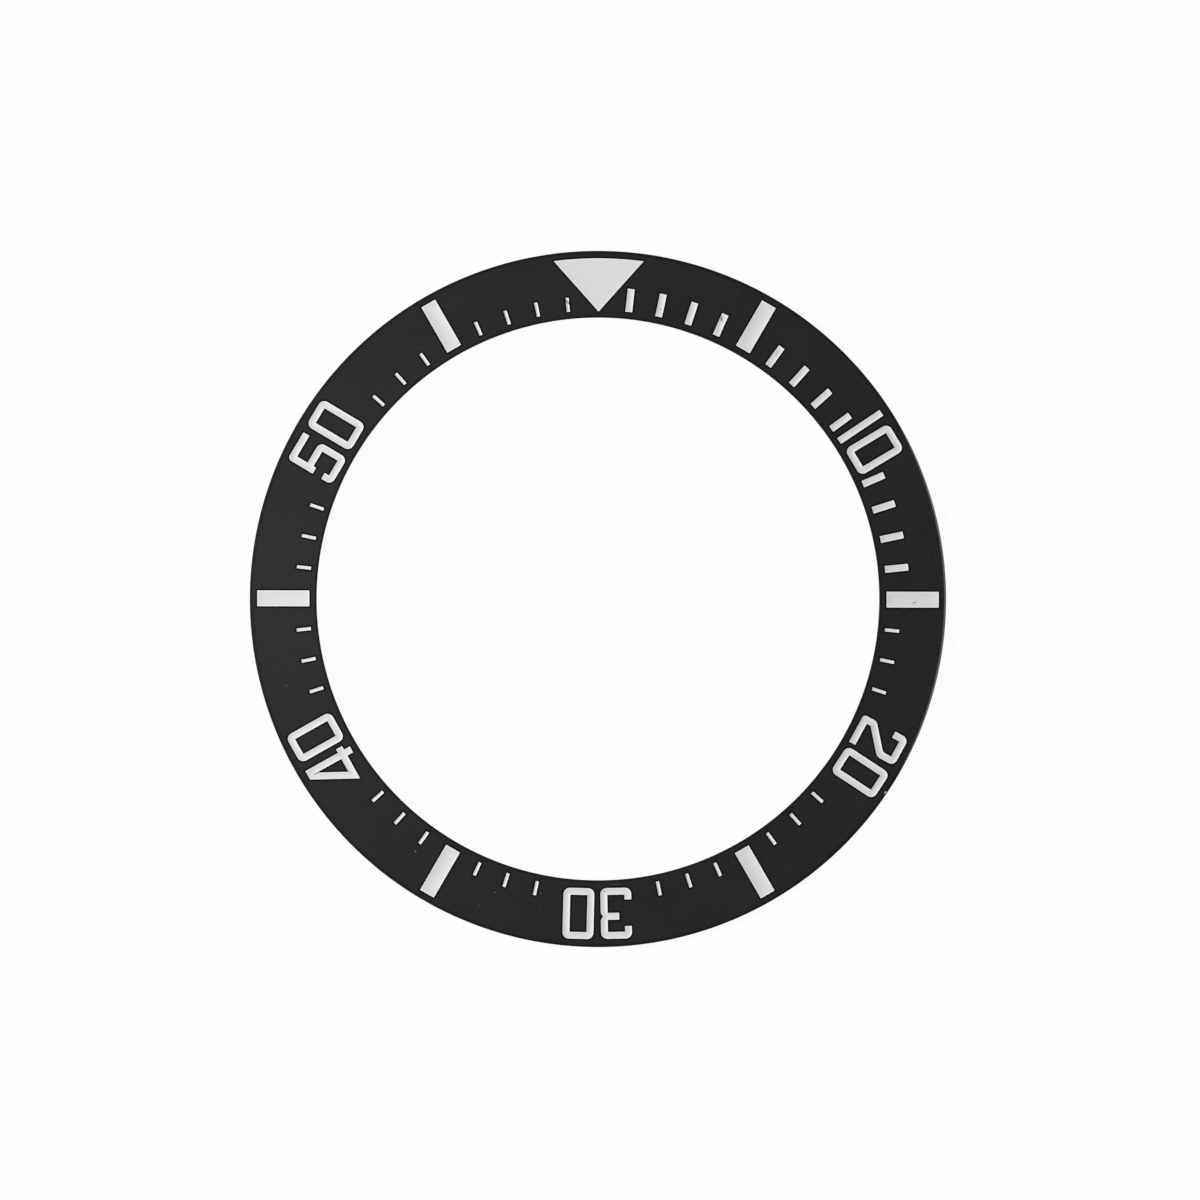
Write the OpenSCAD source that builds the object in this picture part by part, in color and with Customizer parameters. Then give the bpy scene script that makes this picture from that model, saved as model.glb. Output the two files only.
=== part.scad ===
// Sloped ring insert for a rotating watch bezel, marked for sixty minutes.
// The underside faces down and rests on z = 0, the marked face looks up.
// Zero minutes lies towards +Y and the minutes run clockwise as seen from above.

/* [Ring] */
// Outside diameter of the ring, which drops into the recess of the bezel
outer_d = 38; // [34:0.1:44]
// Width of the ring, from the bore that clears the inner lip of the bezel to its outer edge
ring_w = 3.65; // [3.3:0.05:4.2]
// Thickness of the ring at its inner edge
inner_t = 1.15; // [1:0.05:1.6]
// Thickness of the ring at its outer edge
outer_t = 0.7; // [0.6:0.05:0.95]
// Bevel round the outer top edge
outer_bevel = 0.12; // [0.04:0.02:0.2]
// Bevel round the inner top edge
inner_bevel = 0.06; // [0.02:0.02:0.12]
// Bevel round both bottom edges
base_bevel = 0.08; // [0.02:0.02:0.14]

/* [Adhesive] */
// Thickness of the adhesive ring on the underside
adhesive_t = 0.15; // [0.05:0.05:0.3]
// Bare strip of the underside left inside and outside the adhesive ring
adhesive_inset = 0.3; // [0.16:0.02:0.8]

/* [Engraving] */
// Depth of the engraved pockets below the face
pocket_depth = 0.2; // [0.15:0.01:0.35]
// How far the fill lies below the face
fill_recess = 0.04; // [0.02:0.01:0.1]
// Bare strip of the face between the inner edge and the marks
mark_inner_gap = 0.39; // [0.2:0.01:0.6]
// Bare strip of the face between the marks and the outer edge
mark_outer_gap = 0.4; // [0.25:0.01:0.7]

/* [Minute marks] */
// Width of the bars at every odd five minutes
bar_w = 0.88; // [0.6:0.02:1.3]
// Width of the ticks in the first quarter of an hour
wide_tick_w = 0.39; // [0.25:0.01:0.5]
// Length of the ticks in the first quarter of an hour
wide_tick_l = 1.28; // [0.8:0.01:2]
// Width of the ticks in the rest of the hour
thin_tick_w = 0.19; // [0.12:0.01:0.35]
// Length of the ticks in the rest of the hour
thin_tick_l = 0.79; // [0.5:0.01:1.5]
// Angle by which the tick before the ten is moved away from it
before_ten_shift = 0.2; // [0:0.05:1]
// Angle by which the tick after the ten is moved away from it
after_ten_shift = 0.45; // [0:0.05:1]

/* [Zero triangle] */
// Width of the triangle across its two outer corners
triangle_w = 4.94; // [3.6:0.02:5.4]
// Bare strip of the face between the inner edge and the point of the triangle
triangle_point_gap = 0.32; // [0.2:0.01:0.6]

/* [Numerals] */
// Width of the digits zero, two, three and five
digit_w = 1.7; // [1.5:0.01:1.85]
// Width of the strokes
stroke_w = 0.39; // [0.3:0.01:0.44]
// Radius of the rounded corners
digit_corner = 0.35; // [0.05:0.01:0.38]
// Bare strip between the tops of the digits and the outer end of the bars
digit_top_gap = 0.07; // [0.02:0.01:0.2]
// How far the middle bar of the three and of the five lies above the middle of the digit
waist_rise = 0.16; // [0:0.01:0.2]
// Length of the open lower hook of the three and of the five
lower_hook_l = 0.66; // [0.5:0.01:0.9]
// Length of the open upper hook of the two
two_hook_l = 0.84; // [0.5:0.01:1]
// Height at which the diagonal of the two leaves its heel
two_heel_h = 0.62; // [0.5:0.01:0.8]
// Length of the right side of the two, from its top down to the diagonal
two_side_l = 1.07; // [0.9:0.01:1.2]
// Radius of the bend at the neck of the two
two_neck_corner = 0.48; // [0.2:0.02:0.7]
// Radius of the lower left corner of the two
two_foot_corner = 0.18; // [0.05:0.01:0.36]
// Length of the open upper hook of the three
three_hook_l = 0.7; // [0.5:0.01:0.9]
// Length of the middle bar of the three, from the right side
three_waist_l = 1.02; // [0.8:0.01:1.2]
// Depth of the notch between the two bowls of the three
three_notch = 0.13; // [0.04:0.01:0.2]
// Half the height of that notch, before its edges are rounded
three_notch_h = 0.13; // [0.12:0.01:0.3]
// Width of the four from its left tip to the right side of its stem
four_w = 1.82; // [1.7:0.01:1.95]
// Width of the flat top of the four
four_top_w = 0.54; // [0.5:0.01:0.62]
// Height of the underside of the crossbar of the four
four_bar_h = 0.36; // [0.3:0.01:0.6]
// How far the crossbar of the four passes its stem
four_bar_over = 0.22; // [0.05:0.01:0.24]
// How far the left stem of the five passes below its middle bar
five_stub = 0.17; // [0.05:0.01:0.3]
// Radius of the top left corner of the five
five_corner = 0.24; // [0.05:0.01:0.3]

/* [Hidden] */
$fn = 180;
ceramic_colour = [0.16, 0.16, 0.165];
fill_colour = [0.86, 0.86, 0.85];
adhesive_colour = [0.84, 0.81, 0.72];

outer_r = outer_d / 2;
inner_r = outer_r - ring_w;
ring_z = adhesive_t;
slope = (inner_t - outer_t) / ring_w;
mark_inner_r = inner_r + mark_inner_gap;
mark_outer_r = outer_r - mark_outer_gap;
band_w = mark_outer_r - mark_inner_r;
digit_h = band_w - digit_top_gap;
waist_h = digit_h / 2 + waist_rise;
// Clear height above the face to which the cutters reach
cutter_over = 0.5;
// Flat sides that make up one rounded corner of a digit
corner_sides = 8;
minute_angle = 6;

// The numerals ten to fifty were laid out by hand, and these lists give them in that order.
// Width of the gap between the two digits
DIGIT_GAPS = [0.42, 0.34, 0.36, 0.48, 0.39];
// How far the middle of that gap lies to the right of the minute
GAP_OFFSETS = [-0.61, -0.01, 0, 0.04, -0.01];
// Angles by which the left and the right digit lean clockwise
LEFT_ANGLES = [-3.9, -1.6, -1.2, 0.7, 0.7];
RIGHT_ANGLES = [-1, 3.1, 1.3, 0.5, 0.6];
// How far the left and the right digit lie outwards of the foot of the other marks
LEFT_RISES = [-0.05, -0.01, 0.01, 0.01, -0.05];
RIGHT_RISES = [0, -0.01, 0.02, 0, -0.01];
SIDES = ["tens", "units"];

NUMERAL_MINUTES = [10 : 10 : 50];
BAR_MINUTES = [5 : 10 : 55];
WIDE_TICKS = [for (m = [1 : 14]) if (m % 5 != 0) m];
THIN_TICKS = [for (m = [16 : 59]) if (m % 5 != 0 && !beside_wide_numeral(m)) m];

// The numerals twenty to fifty cover the minutes on either side of them
function beside_wide_numeral(m) = m < 52 && (m % 10 == 1 || m % 10 == 9);

function two_figures(m) = m < 10 ? str("0", m) : str(m);
function bar_node(m) = str("bar_", two_figures(m), "_fill");
function tick_node(m) = str("tick_", two_figures(m), "_fill");
function digit_node(m, side) = str("numeral_", m, "_", SIDES[side], "_fill");

// Height of the marked face at a distance r from the axis
function face_z(r) = ring_z + outer_t + slope * (outer_r - r);

// Points of a closed outline whose corners [x, y, radius] are rounded
function rounded(corners) = [
  for (i = [0 : len(corners) - 1])
    each rounded_corner(
      corners[i],
      corners[(i + len(corners) - 1) % len(corners)],
      corners[(i + 1) % len(corners)]
    )
];
function rounded_corner(corner, before, after) =
  corner[2] == 0 ? [flat(corner)] :
  let (
    back = unit(flat(before) - flat(corner)),
    ahead = unit(flat(after) - flat(corner)),
    half = acos(back * ahead) / 2,
    centre = flat(corner) + unit(back + ahead) * corner[2] / sin(half),
    start = flat(corner) + back * corner[2] / tan(half) - centre,
    turn = sign(back[0] * ahead[1] - back[1] * ahead[0]) * (2 * half - 180)
  )
  [for (i = [0 : corner_sides]) centre + turned(start, turn * i / corner_sides)];
function flat(corner) = [corner[0], corner[1]];
function unit(v) = v / norm(v);
function turned(v, a) = [v[0] * cos(a) - v[1] * sin(a), v[0] * sin(a) + v[1] * cos(a)];

// Solid of revolution between two surfaces parallel to the face, at two depths below it
module face_layer(top, bottom) {
  rotate_extrude()
    polygon([
      [inner_r, face_z(inner_r) - bottom],
      [outer_r, face_z(outer_r) - bottom],
      [outer_r, face_z(outer_r) - top],
      [inner_r, face_z(inner_r) - top]
    ]);
}

// An outline cut out of such a layer
module layer_of_outline(top, bottom) {
  intersection() {
    face_layer(top, bottom);
    linear_extrude(ring_z + inner_t + 2 * cutter_over) children();
  }
}

module pocket() {
  layer_of_outline(-cutter_over, pocket_depth) children();
}

module fill() {
  color(fill_colour) layer_of_outline(fill_recess, pocket_depth) children();
}

module at_minute(m) {
  rotate(-minute_angle * m) children();
}

// Strip with square ends that runs outwards from the inner end of the marks
module strip_outline(w, l) {
  translate([-w / 2, mark_inner_r]) square([w, l]);
}

module bar_outline(m) {
  at_minute(m) strip_outline(bar_w, band_w);
}

function tick_shift(m) = m == 9 ? -before_ten_shift : m == 11 ? after_ten_shift : 0;

module tick_outline(m) {
  rotate(-tick_shift(m)) at_minute(m)
    if (m < 15) strip_outline(wide_tick_w, wide_tick_l);
    else strip_outline(thin_tick_w, thin_tick_l);
}

// Triangle with its point towards the axis and its wide side on the outer end of the marks
module triangle_outline() {
  point_y = inner_r + triangle_point_gap;
  corner_y = sqrt(mark_outer_r ^ 2 - (triangle_w / 2) ^ 2);
  over = 1.5;
  half_w = over * triangle_w / 2;
  top_y = point_y + over * (corner_y - point_y);
  intersection() {
    circle(mark_outer_r);
    polygon([[0, point_y], [half_w, top_y], [-half_w, top_y]]);
  }
}

// Digits, each in a box that starts at its lower left corner
module digit_0() {
  difference() {
    polygon(rounded([
      [0, 0, digit_corner],
      [0, digit_h, digit_corner],
      [digit_w, digit_h, digit_corner],
      [digit_w, 0, digit_corner]
    ]));
    translate([stroke_w, stroke_w])
      square([digit_w - 2 * stroke_w, digit_h - 2 * stroke_w]);
  }
}

module digit_1() {
  square([stroke_w, digit_h]);
}

module digit_2() {
  inner_x = digit_w - stroke_w;
  neck_h = digit_h - two_side_l;
  rise = (neck_h - two_heel_h) / inner_x;
  // Height of the diagonal, measured straight up
  thick = stroke_w * sqrt(1 + rise ^ 2);
  polygon(rounded([
    [digit_w, 0, 0],
    [0, 0, two_foot_corner],
    [0, two_heel_h - rise * stroke_w + thick, digit_corner],
    [inner_x, neck_h - rise * stroke_w + thick, two_neck_corner - stroke_w / 2],
    [inner_x, digit_h - stroke_w, 0],
    [stroke_w, digit_h - stroke_w, 0],
    [stroke_w, digit_h - two_hook_l, 0],
    [0, digit_h - two_hook_l, 0],
    [0, digit_h, digit_corner],
    [digit_w, digit_h, digit_corner],
    [digit_w, neck_h, two_neck_corner],
    [stroke_w, two_heel_h, 0],
    [stroke_w, stroke_w, 0],
    [digit_w, stroke_w, 0]
  ]));
}

module digit_3() {
  inner_x = digit_w - stroke_w;
  waist_x = digit_w - three_waist_l;
  waist_low = waist_h - stroke_w / 2;
  waist_high = waist_h + stroke_w / 2;
  polygon(rounded([
    [0, digit_h - three_hook_l, 0],
    [0, digit_h, digit_corner],
    [digit_w, digit_h, digit_corner],
    [digit_w, waist_h + three_notch_h, digit_corner],
    [digit_w - three_notch, waist_h, 0],
    [digit_w, waist_h - three_notch_h, digit_corner],
    [digit_w, 0, digit_corner],
    [0, 0, digit_corner],
    [0, lower_hook_l, 0],
    [stroke_w, lower_hook_l, 0],
    [stroke_w, stroke_w, 0],
    [inner_x, stroke_w, 0],
    [inner_x, waist_low, 0],
    [waist_x, waist_low, 0],
    [waist_x, waist_high, 0],
    [inner_x, waist_high, 0],
    [inner_x, digit_h - stroke_w, 0],
    [stroke_w, digit_h - stroke_w, 0],
    [stroke_w, digit_h - three_hook_l, 0]
  ]));
}

module digit_4() {
  stem_x = four_w - stroke_w;
  bar_top = four_bar_h + stroke_w;
  rise = (digit_h - four_bar_h) / (four_w - four_top_w);
  // Width of the diagonal, measured straight across
  across = stroke_w * sqrt(1 + rise ^ 2) / rise;
  difference() {
    polygon([
      [0, four_bar_h],
      [four_w - four_top_w, digit_h],
      [four_w, digit_h],
      [four_w, bar_top],
      [four_w + four_bar_over, bar_top],
      [four_w + four_bar_over, four_bar_h],
      [four_w, four_bar_h],
      [four_w, 0],
      [stem_x, 0],
      [stem_x, four_bar_h]
    ]);
    polygon([
      [stroke_w / rise + across, bar_top],
      [stem_x, four_bar_h + rise * (stem_x - across)],
      [stem_x, bar_top]
    ]);
  }
}

module digit_5() {
  inner_x = digit_w - stroke_w;
  waist_low = waist_h - stroke_w / 2;
  waist_high = waist_h + stroke_w / 2;
  polygon(rounded([
    [0, waist_low - five_stub, 0],
    [0, digit_h, five_corner],
    [digit_w, digit_h, 0],
    [digit_w, digit_h - stroke_w, 0],
    [stroke_w, digit_h - stroke_w, 0],
    [stroke_w, waist_high, 0],
    [digit_w, waist_high, digit_corner],
    [digit_w, 0, digit_corner],
    [0, 0, digit_corner],
    [0, lower_hook_l, 0],
    [stroke_w, lower_hook_l, 0],
    [stroke_w, stroke_w, 0],
    [inner_x, stroke_w, 0],
    [inner_x, waist_low, 0],
    [stroke_w, waist_low, 0],
    [stroke_w, waist_low - five_stub, 0]
  ]));
}

module digit(value) {
  if (value == 0) digit_0();
  if (value == 1) digit_1();
  if (value == 2) digit_2();
  if (value == 3) digit_3();
  if (value == 4) digit_4();
  if (value == 5) digit_5();
}

function digit_width(value) = value == 1 ? stroke_w : value == 4 ? four_w : digit_w;

// The left (0) or right (1) digit of a numeral, with its foot near the inner end of the marks
module digit_outline(m, side) {
  tens = floor(m / 10);
  place = tens - 1;
  value = side == 0 ? tens : 0;
  w = digit_width(value);
  outwards = side == 0 ? -1 : 1;
  x = GAP_OFFSETS[place] + outwards * (DIGIT_GAPS[place] + w) / 2;
  lean = side == 0 ? LEFT_ANGLES[place] : RIGHT_ANGLES[place];
  rise = side == 0 ? LEFT_RISES[place] : RIGHT_RISES[place];
  at_minute(m)
    translate([x, mark_inner_r + rise + digit_h / 2]) rotate(-lean)
      translate([-w / 2, -digit_h / 2]) digit(value);
}

module blank_ring() {
  rotate_extrude()
    polygon([
      [inner_r + base_bevel, ring_z],
      [outer_r - base_bevel, ring_z],
      [outer_r, ring_z + base_bevel],
      [outer_r, face_z(outer_r) - outer_bevel],
      [outer_r - outer_bevel, face_z(outer_r - outer_bevel)],
      [inner_r + inner_bevel, face_z(inner_r + inner_bevel)],
      [inner_r, face_z(inner_r) - inner_bevel],
      [inner_r, ring_z + base_bevel]
    ]);
}

module insert_ring() {
  color(ceramic_colour)
    difference() {
      blank_ring();
      pocket() triangle_outline();
      for (m = BAR_MINUTES) pocket() bar_outline(m);
      for (m = WIDE_TICKS) pocket() tick_outline(m);
      for (m = THIN_TICKS) pocket() tick_outline(m);
      for (m = NUMERAL_MINUTES, side = [0, 1]) pocket() digit_outline(m, side);
    }
}

module adhesive_ring() {
  color(adhesive_colour)
    difference() {
      cylinder(h = adhesive_t, r = outer_r - adhesive_inset);
      translate([0, 0, -cutter_over])
        cylinder(h = adhesive_t + 2 * cutter_over, r = inner_r + adhesive_inset);
    }
}

insert_ring();
adhesive_ring();
fill() triangle_outline();  // triangle_fill
for (m = BAR_MINUTES)
  fill() bar_outline(m);
for (m = WIDE_TICKS)
  fill() tick_outline(m);
for (m = THIN_TICKS)
  fill() tick_outline(m);
for (m = NUMERAL_MINUTES, side = [0, 1])
  fill() digit_outline(m, side);
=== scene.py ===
import math

import bpy
import numpy as np
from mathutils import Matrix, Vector
from mathutils.geometry import delaunay_2d_cdt


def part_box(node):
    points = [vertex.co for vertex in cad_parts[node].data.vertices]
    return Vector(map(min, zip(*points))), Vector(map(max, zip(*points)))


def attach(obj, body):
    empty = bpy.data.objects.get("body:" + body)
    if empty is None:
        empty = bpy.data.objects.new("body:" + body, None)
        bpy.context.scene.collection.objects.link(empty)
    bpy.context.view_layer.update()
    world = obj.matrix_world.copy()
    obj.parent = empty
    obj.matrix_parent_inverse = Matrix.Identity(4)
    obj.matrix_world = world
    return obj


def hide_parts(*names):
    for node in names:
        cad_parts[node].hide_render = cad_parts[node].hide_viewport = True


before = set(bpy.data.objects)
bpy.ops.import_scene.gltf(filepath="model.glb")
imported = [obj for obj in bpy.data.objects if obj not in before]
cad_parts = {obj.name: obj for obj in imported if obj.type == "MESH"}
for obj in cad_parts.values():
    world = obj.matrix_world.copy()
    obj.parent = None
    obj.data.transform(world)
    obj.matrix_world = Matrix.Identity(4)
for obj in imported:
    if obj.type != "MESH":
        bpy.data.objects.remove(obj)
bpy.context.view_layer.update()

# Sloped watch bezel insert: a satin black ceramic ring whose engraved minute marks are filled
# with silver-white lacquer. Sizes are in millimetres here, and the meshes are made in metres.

MM = 0.001
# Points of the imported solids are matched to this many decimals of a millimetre
DECIMALS = 5
# A packed face whose normal rises more than this looks up
UPWARD = 0.5

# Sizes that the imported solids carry
ring_low, ring_high = (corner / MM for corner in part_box("insert_ring"))
tape_low, tape_high = (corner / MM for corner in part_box("adhesive_ring"))
OUTER_R = (ring_high.x - ring_low.x) / 2
RING_Z = ring_low.z
TAPE_OUTER_R = (tape_high.x - tape_low.x) / 2

# Sizes of the ring that its box doesn't tell
RING_W = 3.65
OUTER_T = 0.7
INNER_T = 1.15
INNER_R = OUTER_R - RING_W
SLOPE = (INNER_T - OUTER_T) / RING_W
POCKET_DEPTH = 0.2
TAPE_INNER_R = INNER_R + OUTER_R - TAPE_OUTER_R

# Rounding of the ring's edges, which the solids show as bevels
OUTER_ROUND = 0.1
INNER_ROUND = 0.06
BASE_ROUND = 0.08
ROUND_STEPS = 5
RING_SEGMENTS = 720
RING_ANGLES = np.arange(RING_SEGMENTS) * math.tau / RING_SEGMENTS

# The lip of each pocket, and how far the lacquer stands back from the walls and the face
LIP = 0.014
FILL_GAP = 0.009
FILL_DROP = 0.012
# Mean depth of the hollow in a pocket 1 mm wide, and the power of the width that it grows by
HOLLOW_DEPTH = 0.043
HOLLOW_GROWTH = 0.3
# A long strip of skin under an even unit load sinks by its width squared over this, on average
STRIP_SINK = 12
# The triangle is filled flatter than the other pockets: its hollow has this share of the depth
TRIANGLE_SHARE = 0.5

# Spacing of the mesh along the outlines, on the marked face and in the lacquer, and the rows of
# points that follow each edge at growing distances from it
OUTLINE_STEP = 0.1
FACE_STEP = 0.36
FILL_STEP = 0.065
FACE_ROWS = (0.04, 0.085, 0.14, 0.21)
FILL_ROWS = (0.018, 0.04, 0.07, 0.105, 0.15)
# A point of such a row stays where no edge is nearer than this share of the row's distance
ROW_CLEAR_SHARE = 0.97
# Rows of even triangles lie this share of a side apart
ROW_PITCH = math.sqrt(0.75)
# A point of an outline this near the line between its neighbours is left out
STRAIGHT_WITHIN = 2e-4
# The least divisor at a corner, so that a sharp one doesn't run far out in an offset outline
LEAST_CORNER = 0.3
# Stands in for a length or an area of nought in a division
TINY = 1e-9
# Distances are worked out for about this many points at a time, to save memory
BATCH = 500
# The triangulation covers the whole hull of its points, and takes points this near as one
WHOLE_HULL = 0
SAME_WITHIN = 1e-6
# Faces that meet at more than this angle keep a sharp edge between them
SHARP_ANGLE = math.radians(50)

# How far the painted shade line round the marks reaches, how much of it the ring's own edges
# have, and how far the painted highlight along the lacquer's rim reaches
EDGE_REACH = 0.09
RING_EDGE_SHARE = 0.5
RIM_REACH = 0.07
# Where a pale highlight is painted on the outer corner, on the right, as a share of the outer
# radius, and how far the painted band reaches in from the outline and down the side
HIGHLIGHT_FROM = 0.86
HIGHLIGHT_FULL = 0.95
HIGHLIGHT_WIDTH = 0.13
HIGHLIGHT_DEPTH = 0.15

# The tape: how far its cut edges stray and in how many waves, what sets the two edges apart, how
# far its glue stands back, and the share of the thickness that each layer of glue has
TAPE_WAVER = 0.012
TAPE_WAVES = (3, 7, 19, 43)
OUTER_CUT = 1
INNER_CUT = 2
TAPE_STEP = 0.03
TAPE_GLUE_SHARE = 0.3

# Colours in linear light
CERAMIC_DARK = 0.0054
CERAMIC_LIGHT = 0.0086
CERAMIC_GRAIN = 0.017
# Painted shade: the near black of the line round the marks, the pocket walls and the ring's edges
CERAMIC_PAINTED_SHADE = 0.002
# Painted highlight on the right of the outer corner
CERAMIC_PAINTED_HIGHLIGHT = 0.15
DUST = 0.045
CERAMIC_IOR = 1.23
LACQUER_DARK = 0.695
LACQUER_LIGHT = 0.715
LACQUER_GRAIN = 0.77
# Painted highlight along the lacquer's rim
LACQUER_PAINTED_HIGHLIGHT = 0.84
LACQUER_SPECK = 0.58
LACQUER_WARMTH = 0.002
LACQUER_IOR = 1.25
TAPE_CREAM = (0.72, 0.68, 0.56, 1)
TAPE_PALE = (0.8, 0.78, 0.7, 1)
TAPE_FIBRE = (0.9, 0.89, 0.85, 1)
TAPE_BUBBLE = (0.6, 0.56, 0.45, 1)
# How much the tape's fibres and bubbles cover, and how many times as long as wide the fibres are
TAPE_COVER = 0.5
TAPE_FIBRE_STRETCH = 9
TAPE_IOR = 1.47

# The faintest of the strewn specks covers this share of what the strongest one does
FAINTEST_SPECK = 0.3

# Small blemishes that the photograph shows, listed as pixel, length, width, turn in degrees
# and grey level. They reach about SPOT_DEPTH below the marked face. They are gone at the first
# share of their half size in SPOT_FADE and full within the second.
SPOT_DEPTH = 0.2
SPOT_FADE = (1.2, 0.6)
FACE_SPOTS = [
    (885.5, 792.4, 0.15, 0.11, 30, 0.5),
    (935, 554.5, 0.1, 0.1, 0, 0.035),
    (733.7, 312.6, 0.09, 0.08, 0, 0.035),
    (702.2, 331.3, 0.09, 0.08, 0, 0.035),
    (277.7, 709.8, 0.09, 0.08, 0, 0.045),
    (332.9, 784.4, 0.08, 0.07, 0, 0.035),
    (615, 884.3, 0.8, 0.05, 0, 0.045),
    (636.3, 907.3, 0.08, 0.07, 0, 0.035),
    (844.7, 803.7, 0.09, 0.08, 0, 0.035),
    (822.7, 805.4, 0.08, 0.07, 0, 0.03),
    (929, 531.2, 0.09, 0.07, 0, 0.03),
    (669.1, 271.4, 0.09, 0.07, 0, 0.035),
    (637.7, 278.7, 0.08, 0.07, 0, 0.035),
    (513, 295.9, 0.09, 0.07, 0, 0.035),
    (415.5, 851.5, 0.09, 0.09, 0, 0.17),
    (540.6, 893.3, 0.08, 0.09, 0, 0.12),
    (495, 892.5, 0.11, 0.08, 0, 0.1),
    (286.2, 685.5, 0.1, 0.09, 0, 0.075),
    (478.9, 905.5, 0.11, 0.09, -30, 0.05),
    (539.4, 906.3, 0.08, 0.08, 0, 0.05),
    (558.4, 895.8, 0.08, 0.1, 0, 0.04),
]
FILL_SPOTS = [
    (914.6, 602.8, 0.27, 0.085, 10, 0.27),
    (567.2, 301.8, 0.44, 0.09, -52, 0.2),
    (569.3, 302.8, 0.13, 0.11, 0, 0.08),
    (721.6, 319.2, 0.3, 0.1, -86, 0.16),
    (661.2, 309.2, 0.13, 0.08, 90, 0.4),
    (776.9, 353.6, 0.34, 0.08, 48, 0.45),
    (316.2, 773.6, 0.36, 0.09, 24, 0.25),
    (329.3, 719.3, 0.09, 0.08, 0, 0.45),
    (326.2, 448.8, 0.09, 0.08, 0, 0.55),
    (327.7, 478.5, 0.22, 0.06, 3, 0.55),
    (604.4, 891, 0.1, 0.08, 90, 0.35),
    (587.4, 887.7, 0.09, 0.08, 0, 0.35),
]

# Light: a soft lamp high on the left, a weak low one on the right, and an even sky. A lamp's
# side is its angle clockwise from the top of the picture, and its power is in watts.
SKY = 0.29
KEY_POWER = 9.1
KEY_SIDE_DEG = 275
KEY_HEIGHT_DEG = 48
KEY_AWAY = 1000
KEY_SIZE = 470
RIM_POWER = 0.8
RIM_SIDE_DEG = 90
RIM_HEIGHT_DEG = 12
RIM_AWAY = 800
RIM_SIZE = 240
# The floor lies FLOOR_GAP below the part, and its shadows show with FLOOR_SHADOW_SHARE of their
# strength
FLOOR_SIZE = 3000
FLOOR_GAP = 0.02
FLOOR_PALE = 0.9
FLOOR_SHADOW_SHARE = 0.05
CAMERA_Z = 200

# The photograph: its scale, where the ring lies in it, and how far the marks are turned
FRAME_PX = 1200
PX_PER_MM = 18.328
CENTRE_PX = (597.95, 599)
TURN_DEG = 0.124


def face_z(r):
    """Height of the marked face at a distance r from the axis."""
    return RING_Z + OUTER_T + SLOPE * (OUTER_R - r)


def photo_place(u, v):
    """The point of the part, seen from above, that lies at pixel u, v of the photograph."""
    x, y = (u - CENTRE_PX[0]) / PX_PER_MM, (CENTRE_PX[1] - v) / PX_PER_MM
    turn = math.radians(TURN_DEG)
    return (
        x * math.cos(turn) - y * math.sin(turn),
        x * math.sin(turn) + y * math.cos(turn),
    )


# Outlines: closed loops of points with the filled side on their left


def outline_loops(node):
    """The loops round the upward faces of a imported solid."""
    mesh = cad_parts[node].data
    place = [tuple(round(c / MM, DECIMALS) for c in v.co[:2]) for v in mesh.vertices]
    sides = set()
    for face in mesh.polygons:
        if face.normal.z > UPWARD:
            corners = [place[i] for i in face.vertices]
            sides.update(zip(corners, corners[1:] + corners[:1]))
    following = {start: end for start, end in sides if (end, start) not in sides}
    loops = []
    while following:
        start = point = min(following)
        loop = []
        while point in following:
            loop.append(point)
            point = following.pop(point)
        assert point == start
        loops.append(without_straight_points(np.array(loop)))
    return loops


def without_straight_points(loop):
    """The loop less the points that lie on a straight stretch of it."""
    before, after = np.roll(loop, 1, axis=0), np.roll(loop, -1, axis=0)
    across = after - before
    length = np.maximum(np.linalg.norm(across, axis=1), TINY)
    off = np.abs(cross(across, loop - before)) / length
    return loop[off > STRAIGHT_WITHIN]


def cross(a, b):
    """The cross products of flat vectors, as numbers."""
    return a[..., 0] * b[..., 1] - a[..., 1] * b[..., 0]


def spaced(loop, step):
    """The loop with points added so that no side is longer than step."""
    points = []
    for start, end in zip(loop, np.roll(loop, -1, axis=0)):
        count = max(1, math.ceil(np.linalg.norm(end - start) / step))
        points += [start + (end - start) * i / count for i in range(count)]
    return np.array(points)


def offset(loop, distance):
    """The loop moved away from its filled side, with its corners kept."""
    ahead = np.roll(loop, -1, axis=0) - loop
    ahead /= np.linalg.norm(ahead, axis=1)[:, None]
    behind = np.roll(ahead, 1, axis=0)
    normals = np.stack([ahead[:, 1] + behind[:, 1], -ahead[:, 0] - behind[:, 0]], axis=1)
    scale = 1 + (ahead * behind).sum(axis=1)
    return loop + distance * normals / np.maximum(scale, LEAST_CORNER)[:, None]


def circle(r):
    """Points round the axis, at one distance or at one of their own each."""
    return np.stack([r * np.cos(RING_ANGLES), r * np.sin(RING_ANGLES)], axis=1)


def distance_to(points, loops):
    """How far each point is from the nearest side of the loops."""
    starts = np.concatenate(loops)
    spans = np.concatenate([np.roll(loop, -1, axis=0) - loop for loop in loops])
    lengths = (spans**2).sum(axis=1)
    nearest = []
    for part in np.array_split(points, max(1, len(points) // BATCH)):
        away = part[:, None] - starts
        along = np.clip((away * spans).sum(axis=2) / lengths, 0, 1)
        gaps = np.linalg.norm(away - along[..., None] * spans, axis=2)
        nearest.append(gaps.min(axis=1))
    return np.concatenate(nearest)


def inside(points, loops):
    """Whether each point lies on the filled side of the loops."""
    hits = np.zeros(len(points), dtype=int)
    for loop in loops:
        for (x0, y0), (x1, y1) in zip(loop, np.roll(loop, -1, axis=0)):
            if y0 != y1:
                level = (y0 > points[:, 1]) != (y1 > points[:, 1])
                hits += level & (points[:, 0] < x0 + (points[:, 1] - y0) * (x1 - x0) / (y1 - y0))
    return hits % 2 == 1


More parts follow.
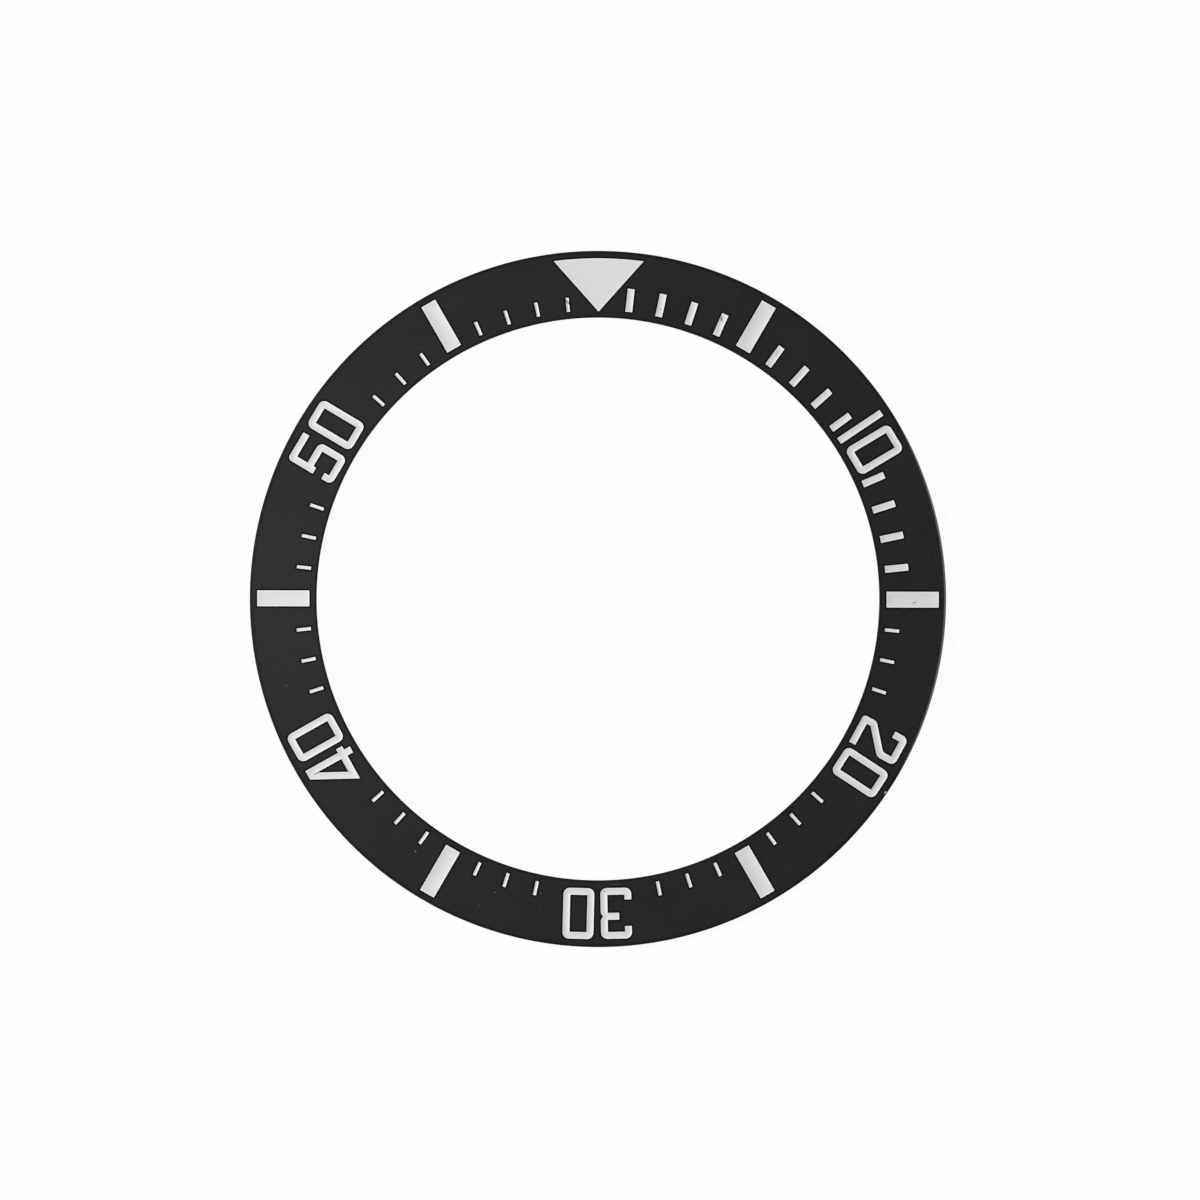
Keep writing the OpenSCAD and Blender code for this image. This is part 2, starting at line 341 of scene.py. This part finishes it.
def triangles(loops, free):
    """Points of the loops and the free points, and triangles over what the loops close in.
    A loop inside another one takes its area out."""
    points = np.concatenate([*loops, free]) if len(free) else np.concatenate(loops)
    rings, first = [], 0
    for loop in loops:
        ring = list(range(first, first + len(loop)))
        first += len(loop)
        rings.append(ring if cross(loop, np.roll(loop, -1, axis=0)).sum() > 0 else ring[::-1])
    corners = [Vector(point) for point in points]
    _, _, faces, sources, _, owners = delaunay_2d_cdt(
        corners, [], rings, WHOLE_HULL, SAME_WITHIN
    )
    kept = [face for face, loops_round in zip(faces, owners) if len(set(loops_round)) % 2 == 1]
    return points, [[sources[i][0] for i in face] for face in kept]


# Meshes


class Shell:
    """Vertices and faces of one closed piece, with one number at each vertex for its material."""

    def __init__(self):
        self.points = []
        self.shades = []
        self.faces = []

    def add(self, points, shades):
        """Adds points, which are rows of x, y and z, and returns their numbers."""
        first = len(self.points)
        self.points += [tuple(point) for point in points]
        self.shades += list(shades) if np.ndim(shades) else [shades] * len(points)
        return list(range(first, first + len(points)))

    def strip(self, right, left):
        """Closes the band between two loops of vertices, given as they lie seen from outside."""
        for i in range(len(right)):
            j = (i + 1) % len(right)
            self.faces.append([right[i], right[j], left[j], left[i]])

    def cover(self, numbers, faces, up=True):
        """Adds triangles over the given vertices."""
        for face in faces:
            corners = [numbers[i] for i in face]
            self.faces.append(corners if up else corners[::-1])

    def build(self, name, node, material, shade_name):
        """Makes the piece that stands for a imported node. The material reads the numbers at the
        vertices by shade_name."""
        mesh = bpy.data.meshes.new(name)
        mesh.from_pydata([[c * MM for c in point] for point in self.points], [], self.faces)
        mesh.polygons.foreach_set("use_smooth", [True] * len(mesh.polygons))
        mesh.set_sharp_from_angle(angle=SHARP_ANGLE)
        shade = mesh.attributes.new(shade_name, "FLOAT", "POINT")
        shade.data.foreach_set("value", self.shades)
        mesh.materials.append(material)
        piece = bpy.data.objects.new(name, mesh)
        bpy.context.scene.collection.objects.link(piece)
        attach(piece, "root")
        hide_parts(node)
        return piece


def on_face(points, below=0.0):
    """The points at a depth below the marked face."""
    return np.column_stack([points, face_z(np.linalg.norm(points, axis=1)) - below])


def edge_shade(distance, reach):
    """A number that falls from 1 at an edge to 0 a little beyond the reach."""
    return np.exp(-((distance / reach) ** 2))


# The ceramic ring


def rounded_corner(centre_r, centre_z, size, start, end):
    """Profile points r, z of a rounded edge, by its angles from the outward direction."""
    angles = np.radians(np.linspace(start, end, ROUND_STEPS + 1))
    return [(centre_r + size * math.cos(a), centre_z + size * math.sin(a)) for a in angles]


def ring_profile():
    """Profile of the ring's body from the outer end of its face, round the underside, to the
    inner end."""
    face_angle = 90 - math.degrees(math.atan(SLOPE))
    outer_r = OUTER_R - OUTER_ROUND
    inner_r = INNER_R + INNER_ROUND
    base_z = RING_Z + BASE_ROUND
    stretch = math.hypot(1, SLOPE)
    outer_z = face_z(outer_r) - OUTER_ROUND * stretch
    inner_z = face_z(inner_r) - INNER_ROUND * stretch
    return [
        *rounded_corner(outer_r, outer_z, OUTER_ROUND, face_angle, 0),
        *rounded_corner(OUTER_R - BASE_ROUND, base_z, BASE_ROUND, 0, -90),
        *rounded_corner(INNER_R + BASE_ROUND, base_z, BASE_ROUND, -90, -180),
        *rounded_corner(inner_r, inner_z, INNER_ROUND, 180, face_angle),
    ]


def face_points(outlines, inner_r, outer_r):
    """Free points of the marked face: rows along the outlines and the edges, and between them
    wider rings with half as many points."""
    rows = []
    for loop in outlines:
        for clear in FACE_ROWS:
            row = offset(spaced(loop, OUTLINE_STEP), LIP + clear)
            rows.append(row[distance_to(row, outlines) > LIP + clear * ROW_CLEAR_SHARE])
    rings = [circle(outer_r - clear) for clear in FACE_ROWS]
    rings += [circle(inner_r + clear) for clear in FACE_ROWS]
    net_inner, net_outer = inner_r + FACE_ROWS[-1], outer_r - FACE_ROWS[-1]
    count = round((net_outer - net_inner) / FACE_STEP)
    rings += [circle(r)[::2] for r in np.linspace(net_inner, net_outer, count + 1)[1:-1]]
    rows += [ring[distance_to(ring, outlines) > LIP + FACE_ROWS[-1]] for ring in rings]
    points = np.concatenate(rows)
    radius = np.linalg.norm(points, axis=1)
    clear = FACE_ROWS[0] / 2
    points = points[(radius > inner_r + clear) & (radius < outer_r - clear)]
    return points[~inside(points, outlines)]


def add_marked_face(shell, outlines, lips, outer_r, inner_r):
    """Adds the marked face and returns its vertices: the outer edge, the inner edge, the lips of
    the pockets and the free points, in this order."""
    free = face_points(outlines, inner_r, outer_r)
    points, faces = triangles([circle(outer_r), circle(inner_r), *lips], free)
    radius = np.linalg.norm(points, axis=1)
    to_edge = np.minimum(outer_r - radius, radius - inner_r)
    # Painted shade: dark near each mark's outline, and half as dark near the ring's own edges
    shades = np.maximum(
        edge_shade(distance_to(points, outlines), EDGE_REACH),
        edge_shade(to_edge, EDGE_REACH) * RING_EDGE_SHARE,
    )
    numbers = shell.add(on_face(points), shades)
    shell.cover(numbers, faces)
    return numbers


def add_body(shell, profile, outer_edge, inner_edge):
    """Adds the sides and the underside of the ring, between the edges of its marked face."""
    previous = outer_edge
    for r, z in profile:
        points = np.column_stack([circle(r), np.full(RING_SEGMENTS, z)])
        # The sides and underside carry half of the painted edge shade
        ring = shell.add(points, RING_EDGE_SHARE)
        shell.strip(ring, previous)
        previous = ring
    shell.strip(inner_edge, previous)


def add_pocket(shell, walls, lip_numbers):
    """Adds the walls and the floor of one pocket. Its lips are the next of lip_numbers."""
    floor = []
    for wall in walls:
        lip = [next(lip_numbers) for _ in wall]
        # The pocket walls carry the full painted shade
        top = shell.add(on_face(wall, LIP), 1.0)
        bottom = shell.add(on_face(wall, POCKET_DEPTH), 1.0)
        shell.strip(lip, top)
        shell.strip(top, bottom)
        floor += bottom
    _, faces = triangles(walls, [])
    shell.cover(floor, faces)


def make_ring(marks, material):
    """The ring with its pockets. marks holds a list of loops for each mark."""
    shell = Shell()
    profile = ring_profile()
    outer_r, inner_r = profile[0][0], profile[-1][0]
    outlines = [loop for loops in marks for loop in loops]
    walls = [[spaced(loop, OUTLINE_STEP) for loop in loops] for loops in marks]
    lips = [offset(wall, LIP) for mark_walls in walls for wall in mark_walls]
    numbers = add_marked_face(shell, outlines, lips, outer_r, inner_r)
    outer_edge = numbers[:RING_SEGMENTS]
    inner_edge = numbers[RING_SEGMENTS : 2 * RING_SEGMENTS]
    add_body(shell, profile[1:-1], outer_edge, inner_edge)
    lip_numbers = iter(numbers[2 * RING_SEGMENTS :])
    for mark_walls in walls:
        add_pocket(shell, mark_walls, lip_numbers)
    return shell.build("ceramic_ring", "insert_ring", material, "edge")


# The lacquer in the pockets


def hollow(points, faces, edge_count):
    """How far each point of a fill's top has sunk: like a skin that clings to its edge under an
    even load. The first edge_count points are its edge."""
    size = len(points)
    stiffness = np.zeros((size, size))
    weight = np.zeros(size)
    a, b, c = (points[[face[i] for face in faces]] for i in range(3))
    areas = np.abs(cross(b - a, c - a)) / 2
    for i in range(3):
        i_at, j_at, k_at = (np.array([face[(i + n) % 3] for face in faces]) for n in range(3))
        u, v = points[j_at] - points[i_at], points[k_at] - points[i_at]
        # Half the cotangent of the corner at i, which ties j to k
        pull = (u * v).sum(axis=1) / np.maximum(areas, TINY) / 4
        np.add.at(stiffness, (j_at, k_at), -pull)
        np.add.at(stiffness, (k_at, j_at), -pull)
        np.add.at(stiffness, (j_at, j_at), pull)
        np.add.at(stiffness, (k_at, k_at), pull)
        np.add.at(weight, i_at, areas / 3)
    sunk = np.zeros(size)
    sunk[edge_count:] = np.linalg.solve(
        stiffness[edge_count:, edge_count:], weight[edge_count:]
    )
    mean = (sunk * weight).sum() / weight.sum()
    width = math.sqrt(STRIP_SINK * mean)
    return sunk / mean * HOLLOW_DEPTH * width**HOLLOW_GROWTH


def fill_points(loops):
    """Free points of a fill's top: rows along its edge and, a third of a step further in, a net
    within them. Every other row stands half a step on, so that the triangles are even and the
    top shades smoothly."""
    rows = []
    for loop in loops:
        for order, clear in enumerate(FILL_ROWS):
            row = offset(spaced(loop, FILL_STEP), -clear)
            if order % 2 == 0:
                row = (row + np.roll(row, -1, axis=0)) / 2
            rows.append(row[distance_to(row, loops) > clear * ROW_CLEAR_SHARE])
    low, high = loops[0].min(axis=0), loops[0].max(axis=0)
    across, up = np.meshgrid(
        np.arange(low[0], high[0], FILL_STEP),
        np.arange(low[1], high[1], FILL_STEP * ROW_PITCH),
    )
    across[1::2] += FILL_STEP / 2
    net = np.stack([across.ravel(), up.ravel()], axis=1)
    rows.append(net[distance_to(net, loops) > FILL_ROWS[-1] + FILL_STEP / 3])
    points = np.concatenate(rows)
    return points[inside(points, loops)]


def make_fill(node, loops, material):
    """One lump of lacquer, from the floor of its pocket to a hollow top."""
    shell = Shell()
    edge_loops = [offset(spaced(loop, FILL_STEP), -FILL_GAP) for loop in loops]
    edge_count = sum(len(loop) for loop in edge_loops)
    points, faces = triangles(edge_loops, fill_points(edge_loops))
    share = TRIANGLE_SHARE if node == "triangle_fill" else 1
    below = FILL_DROP + share * hollow(points, faces, edge_count)
    # Painted highlight: the lacquer is paler near its edge
    rim_highlights = edge_shade(distance_to(points, edge_loops), RIM_REACH)
    top = shell.add(on_face(points, below), rim_highlights)
    shell.cover(top, faces)
    edge_points = np.concatenate(edge_loops)
    # The sides get the full painted highlight too
    bottom = shell.add(on_face(edge_points, POCKET_DEPTH - FILL_GAP), 1.0)
    first = 0
    for loop in edge_loops:
        last = first + len(loop)
        shell.strip(bottom[first:last], top[first:last])
        first = last
    _, floor = triangles(edge_loops, [])
    shell.cover(bottom, floor, up=False)
    name = node.replace("_fill", "_lacquer")
    return shell.build(name, node, material, "rim")


# The adhesive ring


def cut_circle(r, cut):
    """A circle as a die cuts it in soft tape, a few hundredths of a millimetre out of true. Each
    cut edge has its own number, and wavers in its own way."""
    waves = sum(
        np.sin(count * RING_ANGLES + cut * count) * TAPE_WAVER / (1 + order)
        for order, count in enumerate(TAPE_WAVES)
    )
    return circle(r + waves)


def tape_profile(inner_r, outer_r):
    """Profile of the tape: a carrier between two layers of glue that stand back at the edge."""
    low, high = tape_low.z, tape_high.z
    glue = (high - low) * TAPE_GLUE_SHARE
    return [
        (outer_r - TAPE_STEP, high),
        (outer_r - TAPE_STEP, high - glue),
        (outer_r, high - glue),
        (outer_r, low + glue),
        (outer_r - TAPE_STEP, low + glue),
        (outer_r - TAPE_STEP, low),
        (inner_r + TAPE_STEP, low),
        (inner_r + TAPE_STEP, low + glue),
        (inner_r, low + glue),
        (inner_r, high - glue),
        (inner_r + TAPE_STEP, high - glue),
        (inner_r + TAPE_STEP, high),
    ]


def make_tape(material):
    """The double-sided tape on the underside of the ring."""
    shell = Shell()
    # The waves add up to about twice the first one at most
    outer_r = TAPE_OUTER_R - 2 * TAPE_WAVER
    inner_r = TAPE_INNER_R + 2 * TAPE_WAVER
    middle_r = (inner_r + outer_r) / 2
    rings = []
    for r, z in tape_profile(inner_r, outer_r):
        cut = OUTER_CUT if r > middle_r else INNER_CUT
        points = np.column_stack([cut_circle(r, cut), np.full(RING_SEGMENTS, z)])
        rings.append(shell.add(points, 0.0))
    for ring, following in zip(rings, rings[1:] + rings[:1]):
        shell.strip(following, ring)
    return shell.build("adhesive_tape", "adhesive_ring", material, "rim")


# Materials


class Shader:
    """A node material under construction. Lengths are in millimetres."""

    def __init__(self, name):
        self.material = bpy.data.materials.new(name)
        self.material.use_nodes = True
        self.tree = self.material.node_tree
        self.tree.nodes.clear()
        self.place = self.add("ShaderNodeTexCoord").outputs["Object"]

    def add(self, kind, **settings):
        """Adds a node of that kind with these settings."""
        node = self.tree.nodes.new(kind)
        for key, value in settings.items():
            setattr(node, key, value)
        return node

    def feed(self, socket, value):
        """Links the socket to another node's output, or gives it a fixed value."""
        if isinstance(value, bpy.types.NodeSocket):
            self.tree.links.new(value, socket)
        else:
            socket.default_value = value

    def noise(self, size, detail=2.0, stretch=(1, 1, 1)):
        """Soft noise from 0 to 1 whose patches are about size across."""
        mapping = self.add("ShaderNodeMapping")
        self.feed(mapping.inputs["Vector"], self.place)
        mapping.inputs["Scale"].default_value = stretch
        node = self.add("ShaderNodeTexNoise")
        self.feed(node.inputs["Vector"], mapping.outputs["Vector"])
        node.inputs["Scale"].default_value = 1 / (size * MM)
        node.inputs["Detail"].default_value = detail
        return node.outputs["Fac"]

    def ramp(self, value, low, high, to_low=0.0, to_high=1.0):
        """The value taken from the range low to high to another range, and held at its ends."""
        node = self.add("ShaderNodeMapRange")
        for socket, number in zip(node.inputs, (value, low, high, to_low, to_high)):
            self.feed(socket, number)
        return node.outputs["Result"]

    def clouds(self, size):
        """Patches about size across that go from 0 to 1, stronger than plain noise."""
        return self.ramp(self.noise(size), low=0.3, high=0.7)

    def uneven(self, size, least, most):
        """A number that wanders between two values, in patches about size across."""
        return self.ramp(self.noise(size, detail=3), 0.25, 0.75, to_low=least, to_high=most)

    def maths(self, operation, *values):
        """The result of a Math node. The operation has the name that Blender gives it."""
        node = self.add("ShaderNodeMath", operation=operation)
        for socket, value in zip(node.inputs, values):
            self.feed(socket, value)
        return node.outputs["Value"]

    def square(self, value):
        return self.maths("MULTIPLY", value, value)

    def mix(self, factor, one, other):
        """A colour that goes from one to other with the factor."""
        node = self.add("ShaderNodeMix", data_type="RGBA")
        colours = [socket for socket in node.inputs if socket.type == "RGBA"]
        self.feed(node.inputs["Factor"], factor)
        self.feed(colours[0], one)
        self.feed(colours[1], other)
        return next(socket for socket in node.outputs if socket.type == "RGBA")

    def position(self):
        """The coordinates x, y and z, in metres."""
        node = self.add("ShaderNodeSeparateXYZ")
        self.feed(node.inputs["Vector"], self.place)
        return node.outputs

    def attribute(self, name):
        """The numbers that the mesh has at its vertices under this name."""
        return self.add("ShaderNodeAttribute", attribute_name=name).outputs["Fac"]

    def specks(self, spacing, size, share):
        """A mask of round specks of about that size, some fainter than others. share is how many
        places hold one. A speck is full up to half its radius and fades from there."""
        node = self.add("ShaderNodeTexVoronoi")
        self.feed(node.inputs["Vector"], self.place)
        node.inputs["Scale"].default_value = 1 / (spacing * MM)
        radius = size / spacing / 2
        near = self.ramp(node.outputs["Distance"], radius, radius / 2)
        pick = self.add("ShaderNodeSeparateColor")
        self.feed(pick.inputs["Color"], node.outputs["Color"])
        chosen = self.maths("LESS_THAN", pick.outputs["Red"], share)
        strength = self.ramp(pick.outputs["Green"], 0, 1, to_low=FAINTEST_SPECK)
        return self.maths("MULTIPLY", self.maths("MULTIPLY", near, chosen), strength)

    def spot(self, u, v, length, width, turn=0.0):
        """A mask of one oval spot at a pixel of the photograph, turned from its rows."""
        x, y = photo_place(u, v)
        z = face_z(math.hypot(x, y))
        mapping = self.add("ShaderNodeMapping", vector_type="TEXTURE")
        self.feed(mapping.inputs["Vector"], self.place)
        mapping.inputs["Location"].default_value = (x * MM, y * MM, z * MM)
        mapping.inputs["Rotation"].default_value = (0, 0, math.radians(turn))
        mapping.inputs["Scale"].default_value = (length / 2 * MM, width / 2 * MM, SPOT_DEPTH * MM)
        reach = self.add("ShaderNodeVectorMath", operation="LENGTH")
        self.feed(reach.inputs[0], mapping.outputs["Vector"])
        return self.ramp(reach.outputs["Value"], *SPOT_FADE)

    def with_spots(self, colour, spots):
        """The colour with a list of spots laid over it."""
        for u, v, length, width, turn, level in spots:
            colour = self.mix(self.spot(u, v, length, width, turn), colour, grey(level))
        return colour

    def bump(self, height, depth, under=None):
        """A normal that follows the height, whose full range is depth deep."""
        node = self.add("ShaderNodeBump")
        node.inputs["Distance"].default_value = depth * MM
        self.feed(node.inputs["Height"], height)
        if under:
            self.feed(node.inputs["Normal"], under)
        return node.outputs["Normal"]

    def finish(self, colour, roughness, normal, ior, shine=0.5):
        """Puts the surface together and returns the material."""
        surface = self.add("ShaderNodeBsdfPrincipled")
        self.feed(surface.inputs["Base Color"], colour)
        self.feed(surface.inputs["Roughness"], roughness)
        self.feed(surface.inputs["Normal"], normal)
        self.feed(surface.inputs["Specular IOR Level"], shine)
        surface.inputs["IOR"].default_value = ior
        output = self.add("ShaderNodeOutputMaterial")
        self.feed(output.inputs["Surface"], surface.outputs["BSDF"])
        return self.material


def grey(level, warmth=0.0):
    """A grey of that level in linear light, a little redder where warmth is above nought."""
    return (level * (1 + warmth), level, level * (1 - warmth), 1)


def painted_highlight_corner(shader):
    """A mask of the outer top corner on the right, where a pale highlight is painted, with soft
    borders.
    """
    x, y, z = shader.position()
    from_axis = shader.maths("SQRT", shader.maths("ADD", shader.square(x), shader.square(y)))
    band_r = (OUTER_R - HIGHLIGHT_WIDTH) * MM
    band_z = (face_z(OUTER_R) - HIGHLIGHT_DEPTH) * MM
    at_edge = shader.ramp(from_axis, band_r, band_r + HIGHLIGHT_WIDTH / 2 * MM)
    at_top = shader.ramp(z, band_z, band_z + HIGHLIGHT_DEPTH / 3 * MM)
    at_right = shader.ramp(x, HIGHLIGHT_FROM * OUTER_R * MM, HIGHLIGHT_FULL * OUTER_R * MM)
    corner = shader.maths("MULTIPLY", at_edge, at_top)
    return shader.maths("MULTIPLY", corner, at_right)


def ceramic_material():
    """Fired and lapped ceramic: near black and satin, with faint clouds, dust and fine marks,
    painted shade round the marks and along the edges, and a painted highlight on the right of the
    outer corner.
    """
    shader = Shader("satin_black_ceramic")
    colour = shader.mix(shader.clouds(size=2.6), grey(CERAMIC_DARK), grey(CERAMIC_LIGHT))
    grain = shader.noise(size=0.09, detail=3)
    grain_cover = shader.ramp(grain, low=0.35, high=0.75, to_high=0.35)
    colour = shader.mix(grain_cover, colour, grey(CERAMIC_GRAIN))
    # Painted shade: a dark line round the marks, on the pocket walls and along the ring's edges
    edge = shader.ramp(shader.attribute("edge"), low=0.1, high=0.9)
    colour = shader.mix(edge, colour, grey(CERAMIC_PAINTED_SHADE))
    # Painted highlight: the outer corner is paler on the right, where light falls from that side
    colour = shader.mix(painted_highlight_corner(shader), colour, grey(CERAMIC_PAINTED_HIGHLIGHT))
    dust = shader.specks(spacing=0.65, size=0.09, share=0.6)
    colour = shader.mix(dust, colour, grey(DUST))
    colour = shader.with_spots(colour, FACE_SPOTS)
    rougher_edge = shader.ramp(edge, 0, 1, to_high=0.15)
    roughness = shader.uneven(size=0.4, least=0.4, most=0.5)
    roughness = shader.maths("ADD", roughness, rougher_edge)
    normal = shader.bump(grain, depth=0.001)
    normal = shader.bump(shader.noise(size=1.8), depth=0.004, under=normal)
    shine = shader.ramp(edge, 0, 1, to_low=0.5, to_high=0.05)
    return shader.finish(colour, roughness, normal, CERAMIC_IOR, shine)


def lacquer_material():
    """Matt silver-white lacquer: fine pigment grain, faint clouds and a painted highlight along
    its rim.
    """
    shader = Shader("silver_white_lacquer")
    dark, light = (grey(level, LACQUER_WARMTH) for level in (LACQUER_DARK, LACQUER_LIGHT))
    colour = shader.mix(shader.clouds(size=0.9), dark, light)
    grain = shader.noise(size=0.035, detail=3)
    grain_cover = shader.ramp(grain, low=0.3, high=0.8, to_high=0.3)
    colour = shader.mix(grain_cover, colour, grey(LACQUER_GRAIN))
    # Painted highlight: paler lacquer along the rim of each fill
    rim = shader.ramp(shader.attribute("rim"), low=0.25, high=0.9)
    colour = shader.mix(rim, colour, grey(LACQUER_PAINTED_HIGHLIGHT))
    specks = shader.specks(spacing=0.4, size=0.08, share=0.7)
    colour = shader.mix(specks, colour, grey(LACQUER_SPECK))
    colour = shader.with_spots(colour, FILL_SPOTS)
    roughness = shader.uneven(size=0.3, least=0.62, most=0.75)
    normal = shader.bump(grain, depth=0.0005)
    normal = shader.bump(shader.noise(size=0.3), depth=0.0015, under=normal)
    return shader.finish(colour, roughness, normal, LACQUER_IOR)


def tape_material():
    """Acrylic glue over a tissue carrier: cream, with fibres and small trapped bubbles."""
    shader = Shader("tissue_tape")
    colour = shader.mix(shader.clouds(size=1.4), TAPE_CREAM, TAPE_PALE)
    along, across = (
        shader.ramp(shader.noise(size=0.35, detail=4, stretch=stretch), low=0.55, high=0.7)
        for stretch in ((1, TAPE_FIBRE_STRETCH, 1), (TAPE_FIBRE_STRETCH, 1, 1))
    )
    fibres = shader.maths("MAXIMUM", along, across)
    colour = shader.mix(shader.maths("MULTIPLY", fibres, TAPE_COVER), colour, TAPE_FIBRE)
    bubbles = shader.specks(spacing=0.4, size=0.2, share=0.4)
    colour = shader.mix(shader.maths("MULTIPLY", bubbles, TAPE_COVER), colour, TAPE_BUBBLE)
    roughness = shader.uneven(size=0.5, least=0.28, most=0.45)
    normal = shader.bump(bubbles, depth=0.01)
    normal = shader.bump(fibres, depth=0.006, under=normal)
    return shader.finish(colour, roughness, normal, TAPE_IOR)


def seen_rays(tree):
    """A mask of the rays that show the background: the camera's, reflected and refracted ones."""
    rays = tree.nodes.new("ShaderNodeLightPath")
    seen = rays.outputs["Is Camera Ray"]
    for name in ("Is Glossy Ray", "Is Transmission Ray"):
        either = tree.nodes.new("ShaderNodeMath")
        either.operation = "MAXIMUM"
        tree.links.new(seen, either.inputs[0])
        tree.links.new(rays.outputs[name], either.inputs[1])
        seen = either.outputs["Value"]
    return seen


def floor_material():
    """White where the camera or a reflection sees it, less the shadow that the object casts."""
    shader = Shader("pale_floor")
    matt = shader.add("ShaderNodeBsdfDiffuse")
    matt.inputs["Color"].default_value = grey(FLOOR_PALE)
    glow = shader.add("ShaderNodeEmission")
    seen = seen_rays(shader.tree)
    surface = shader.add("ShaderNodeMixShader")
    shader.feed(surface.inputs["Fac"], shader.maths("MULTIPLY", seen, 1 - FLOOR_SHADOW_SHARE))
    shader.feed(surface.inputs[1], matt.outputs["BSDF"])
    shader.feed(surface.inputs[2], glow.outputs["Emission"])
    output = shader.add("ShaderNodeOutputMaterial")
    shader.feed(output.inputs["Surface"], surface.outputs["Shader"])
    return shader.material


# The stage


def make_floor():
    """A wide flat floor just below the part."""
    half = FLOOR_SIZE / 2 * MM
    mesh = bpy.data.meshes.new("floor")
    corners = [(-half, -half), (half, -half), (half, half), (-half, half)]
    mesh.from_pydata([(x, y, -FLOOR_GAP * MM) for x, y in corners], [], [(0, 1, 2, 3)])
    mesh.materials.append(floor_material())
    floor = bpy.data.objects.new("floor", mesh)
    bpy.context.scene.collection.objects.link(floor)


def make_sky():
    """An even grey for the light, and white where the camera or a reflection sees it."""
    world = bpy.data.worlds.new("sky")
    bpy.context.scene.world = world
    world.use_nodes = True
    nodes, links = world.node_tree.nodes, world.node_tree.links
    nodes.clear()
    brightness = nodes.new("ShaderNodeMapRange")
    brightness.inputs["To Min"].default_value = SKY
    brightness.inputs["To Max"].default_value = 1
    links.new(seen_rays(world.node_tree), brightness.inputs["Value"])
    background = nodes.new("ShaderNodeBackground")
    background.inputs["Color"].default_value = grey(1)
    links.new(brightness.outputs["Result"], background.inputs["Strength"])
    output = nodes.new("ShaderNodeOutputWorld")
    links.new(background.outputs["Background"], output.inputs["Surface"])


def make_lamp(name, side_deg, height_deg, away, size, power):
    """A soft lamp that faces the part."""
    side, height = math.radians(side_deg), math.radians(height_deg)
    flat = math.cos(height)
    place = Vector((flat * math.sin(side), flat * math.cos(side), math.sin(height)))
    data = bpy.data.lights.new(name, "AREA")
    data.shape = "DISK"
    data.size = size * MM
    data.energy = power
    lamp = bpy.data.objects.new(name, data)
    lamp.location = place * away * MM
    lamp.rotation_mode = "QUATERNION"
    lamp.rotation_quaternion = (-place).to_track_quat("-Z", "Y")
    bpy.context.scene.collection.objects.link(lamp)


def make_camera():
    """Straight above the part, level with the photograph's own framing."""
    data = bpy.data.cameras.new("camera")
    data.type = "ORTHO"
    data.ortho_scale = FRAME_PX / PX_PER_MM * MM
    camera = bpy.data.objects.new("camera", data)
    x, y = photo_place(FRAME_PX / 2, FRAME_PX / 2)
    camera.location = (x * MM, y * MM, CAMERA_Z * MM)
    camera.rotation_euler = (0, 0, math.radians(TURN_DEG))
    bpy.context.scene.collection.objects.link(camera)
    bpy.context.scene.camera = camera


def main():
    """Makes every piece of the part, and then the stage, the light and the camera."""
    ceramic, lacquer, tape = ceramic_material(), lacquer_material(), tape_material()
    marks = {node: outline_loops(node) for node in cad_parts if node.endswith("_fill")}
    make_ring(list(marks.values()), ceramic)
    make_tape(tape)
    for node, loops in marks.items():
        make_fill(node, loops, lacquer)
    make_floor()
    make_sky()
    make_lamp("key", KEY_SIDE_DEG, KEY_HEIGHT_DEG, KEY_AWAY, KEY_SIZE, KEY_POWER)
    make_lamp("rim", RIM_SIDE_DEG, RIM_HEIGHT_DEG, RIM_AWAY, RIM_SIZE, RIM_POWER)
    make_camera()
    bpy.context.scene.view_settings.view_transform = "Standard"


main()
